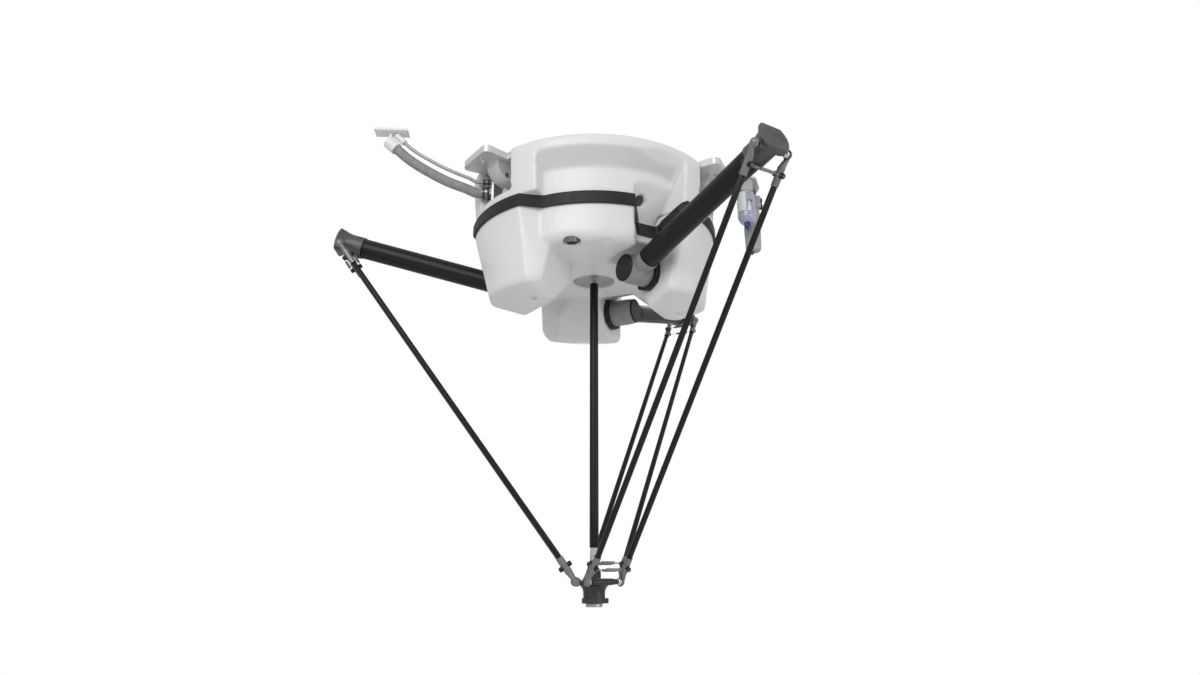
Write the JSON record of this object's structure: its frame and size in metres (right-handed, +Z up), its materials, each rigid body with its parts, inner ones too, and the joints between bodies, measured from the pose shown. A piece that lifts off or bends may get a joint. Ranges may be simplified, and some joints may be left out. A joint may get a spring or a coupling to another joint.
{
  "type": "delta robot",
  "caption": "Ceiling-mounted delta robot: white drive housing, carbon upper arms and paired forearm rods on ball joints, a small moving platform and a telescopic turning spindle.",
  "frame": {"origin": "centre of the top mounting face, on the robot's vertical axis", "axes": "+Z up along the spindle's axis; -X along the first upper arm; the other two arms at 60 degrees either side of +X"},
  "size_m": [0.8566, 0.9298, 0.9033],
  "materials": {
    "air_body_grey": "moulded",
    "ball_steel": "polished",
    "black_cap": "smooth matt",
    "black_rubber": "matt moulded rubber",
    "bowl_pale": "smooth translucent",
    "carbon": "smooth carbon fibre with a faint sheen",
    "cast_grey": "bead-blasted, hard anodised",
    "clamp_white": "satin white",
    "conduit_grey": "ribbed conduit",
    "drive_metal": "machined",
    "fitting_grey": "plated",
    "guard_lilac": "smooth, slightly see-through",
    "hose_grey": "smooth hose",
    "housing_white": "satin white coating",
    "joint_plastic": "light grey moulded",
    "motor_black": "matt black coating",
    "platform_dark": "dark hard anodised",
    "rod_end_grey": "machined, clear anodised",
    "spring_steel": "blackened spring wire",
    "steel_frame": "brushed stainless steel",
    "tool_metal": "machined",
    "valve_blue": "moulded"
  },
  "bodies": {
    "base": {"mounting_frame": "steel_frame", "lower_housing": "housing_white", "upper_housing": "housing_white", "seal_band": "black_rubber", "gearbox_1": "drive_metal", "gearbox_2": "drive_metal", "gearbox_3": "drive_metal", "motor_1": "motor_black", "motor_2": "motor_black", "motor_3": "motor_black", "seal_collar_1": "black_cap", "seal_collar_2": "black_cap", "seal_collar_3": "black_cap", "spindle_motor": "motor_black", "spindle_bearing": "fitting_grey", "connector_plate": "steel_frame", "cable_glands": "fitting_grey", "service_sockets": "steel_frame", "power_cable": "conduit_grey", "air_hose": "hose_grey", "cable_clamp": "clamp_white", "air_bracket": "steel_frame", "air_bodies": "air_body_grey", "filter_bowl": "bowl_pale", "bowl_guard": "guard_lilac", "drain_valves": "valve_blue"},
    "knob": {"regulator_knob": "black_cap"},
    "arm_1": {"hub_1": "cast_grey", "hub_cap_1": "black_cap", "arm_tube_1": "carbon", "elbow_1": "cast_grey", "elbow_balls_1": "ball_steel"},
    "forearms_1": {"rods_1": "carbon", "rod_ends_1": "rod_end_grey", "springs_1": "spring_steel", "foot_balls_1": "ball_steel"},
    "arm_2": {"hub_2": "cast_grey", "hub_cap_2": "black_cap", "arm_tube_2": "carbon", "elbow_2": "cast_grey", "elbow_balls_2": "ball_steel"},
    "forearms_2": {"rods_2": "carbon", "rod_ends_2": "rod_end_grey", "springs_2": "spring_steel", "foot_balls_2": "ball_steel"},
    "arm_3": {"hub_3": "cast_grey", "hub_cap_3": "black_cap", "arm_tube_3": "carbon", "elbow_3": "cast_grey", "elbow_balls_3": "ball_steel"},
    "forearms_3": {"rods_3": "carbon", "rod_ends_3": "rod_end_grey", "springs_3": "spring_steel", "foot_balls_3": "ball_steel"},
    "spindle_top": {"spindle_rod": "ball_steel"},
    "spindle_slide": {"spindle_tube": "carbon", "universal_joint": "joint_plastic"},
    "platform": {"platform": "platform_dark"},
    "tool": {"tool_flange": "tool_metal"}
  },
  "joints": [
    {"name": "arm_1_swing", "type": "hinge", "parent": "base", "child": "arm_1", "pos_m": [-0.1445, 0, -0.222], "axis": [0, 1, 0], "range_deg": [-25, 0]},
    {"name": "forearms_1_fold", "type": "hinge", "parent": "arm_1", "child": "forearms_1", "pos_m": [-0.50726, 0, -0.13958], "axis": [0, 1, 0], "range_deg": [0, 24.8]},
    {"name": "arm_2_swing", "type": "hinge", "parent": "base", "child": "arm_2", "pos_m": [0.07225, -0.12514, -0.222], "axis": [-0.866, -0.5, 0], "range_deg": [-25, 0]},
    {"name": "forearms_2_fold", "type": "hinge", "parent": "arm_2", "child": "forearms_2", "pos_m": [0.25363, -0.4393, -0.13958], "axis": [-0.866, -0.5, 0], "range_deg": [0, 24.8]},
    {"name": "arm_3_swing", "type": "hinge", "parent": "base", "child": "arm_3", "pos_m": [0.07225, 0.12514, -0.222], "axis": [0.866, -0.5, 0], "range_deg": [-25, 0]},
    {"name": "forearms_3_fold", "type": "hinge", "parent": "arm_3", "child": "forearms_3", "pos_m": [0.25363, 0.4393, -0.13958], "axis": [0.866, -0.5, 0], "range_deg": [0, 24.8]},
    {"name": "platform_lift", "type": "slide", "parent": "base", "child": "platform", "axis": [0, 0, 1], "range_m": [-0.157, 0]},
    {"name": "spindle_turn", "type": "hinge", "parent": "base", "child": "spindle_top", "pos_m": [0, 0, -0.222], "axis": [0, 0, 1], "continuous": true},
    {"name": "spindle_extend", "type": "slide", "parent": "spindle_top", "child": "spindle_slide", "axis": [0, 0, 1], "range_m": [-0.157, 0]},
    {"name": "tool_turn", "type": "hinge", "parent": "platform", "child": "tool", "pos_m": [0, 0, -0.82194], "axis": [0, 0, 1], "continuous": true},
    {"name": "knob_turn", "type": "hinge", "parent": "base", "child": "knob", "pos_m": [0.316, -0.056, -0.04], "axis": [0, 0, 1], "range_deg": [0, 300]}
  ],
  "couplings": [
    {"joint": "forearms_1_fold", "follows": "arm_1_swing", "ratio": -0.987},
    {"joint": "arm_2_swing", "follows": "arm_1_swing", "ratio": 1},
    {"joint": "forearms_2_fold", "follows": "arm_1_swing", "ratio": -0.987},
    {"joint": "arm_3_swing", "follows": "arm_1_swing", "ratio": 1},
    {"joint": "forearms_3_fold", "follows": "arm_1_swing", "ratio": -0.987},
    {"joint": "platform_lift", "follows": "arm_1_swing", "m_per_rad": 0.357},
    {"joint": "spindle_extend", "follows": "arm_1_swing", "m_per_rad": 0.357},
    {"joint": "tool_turn", "follows": "spindle_turn", "ratio": 1}
  ]
}
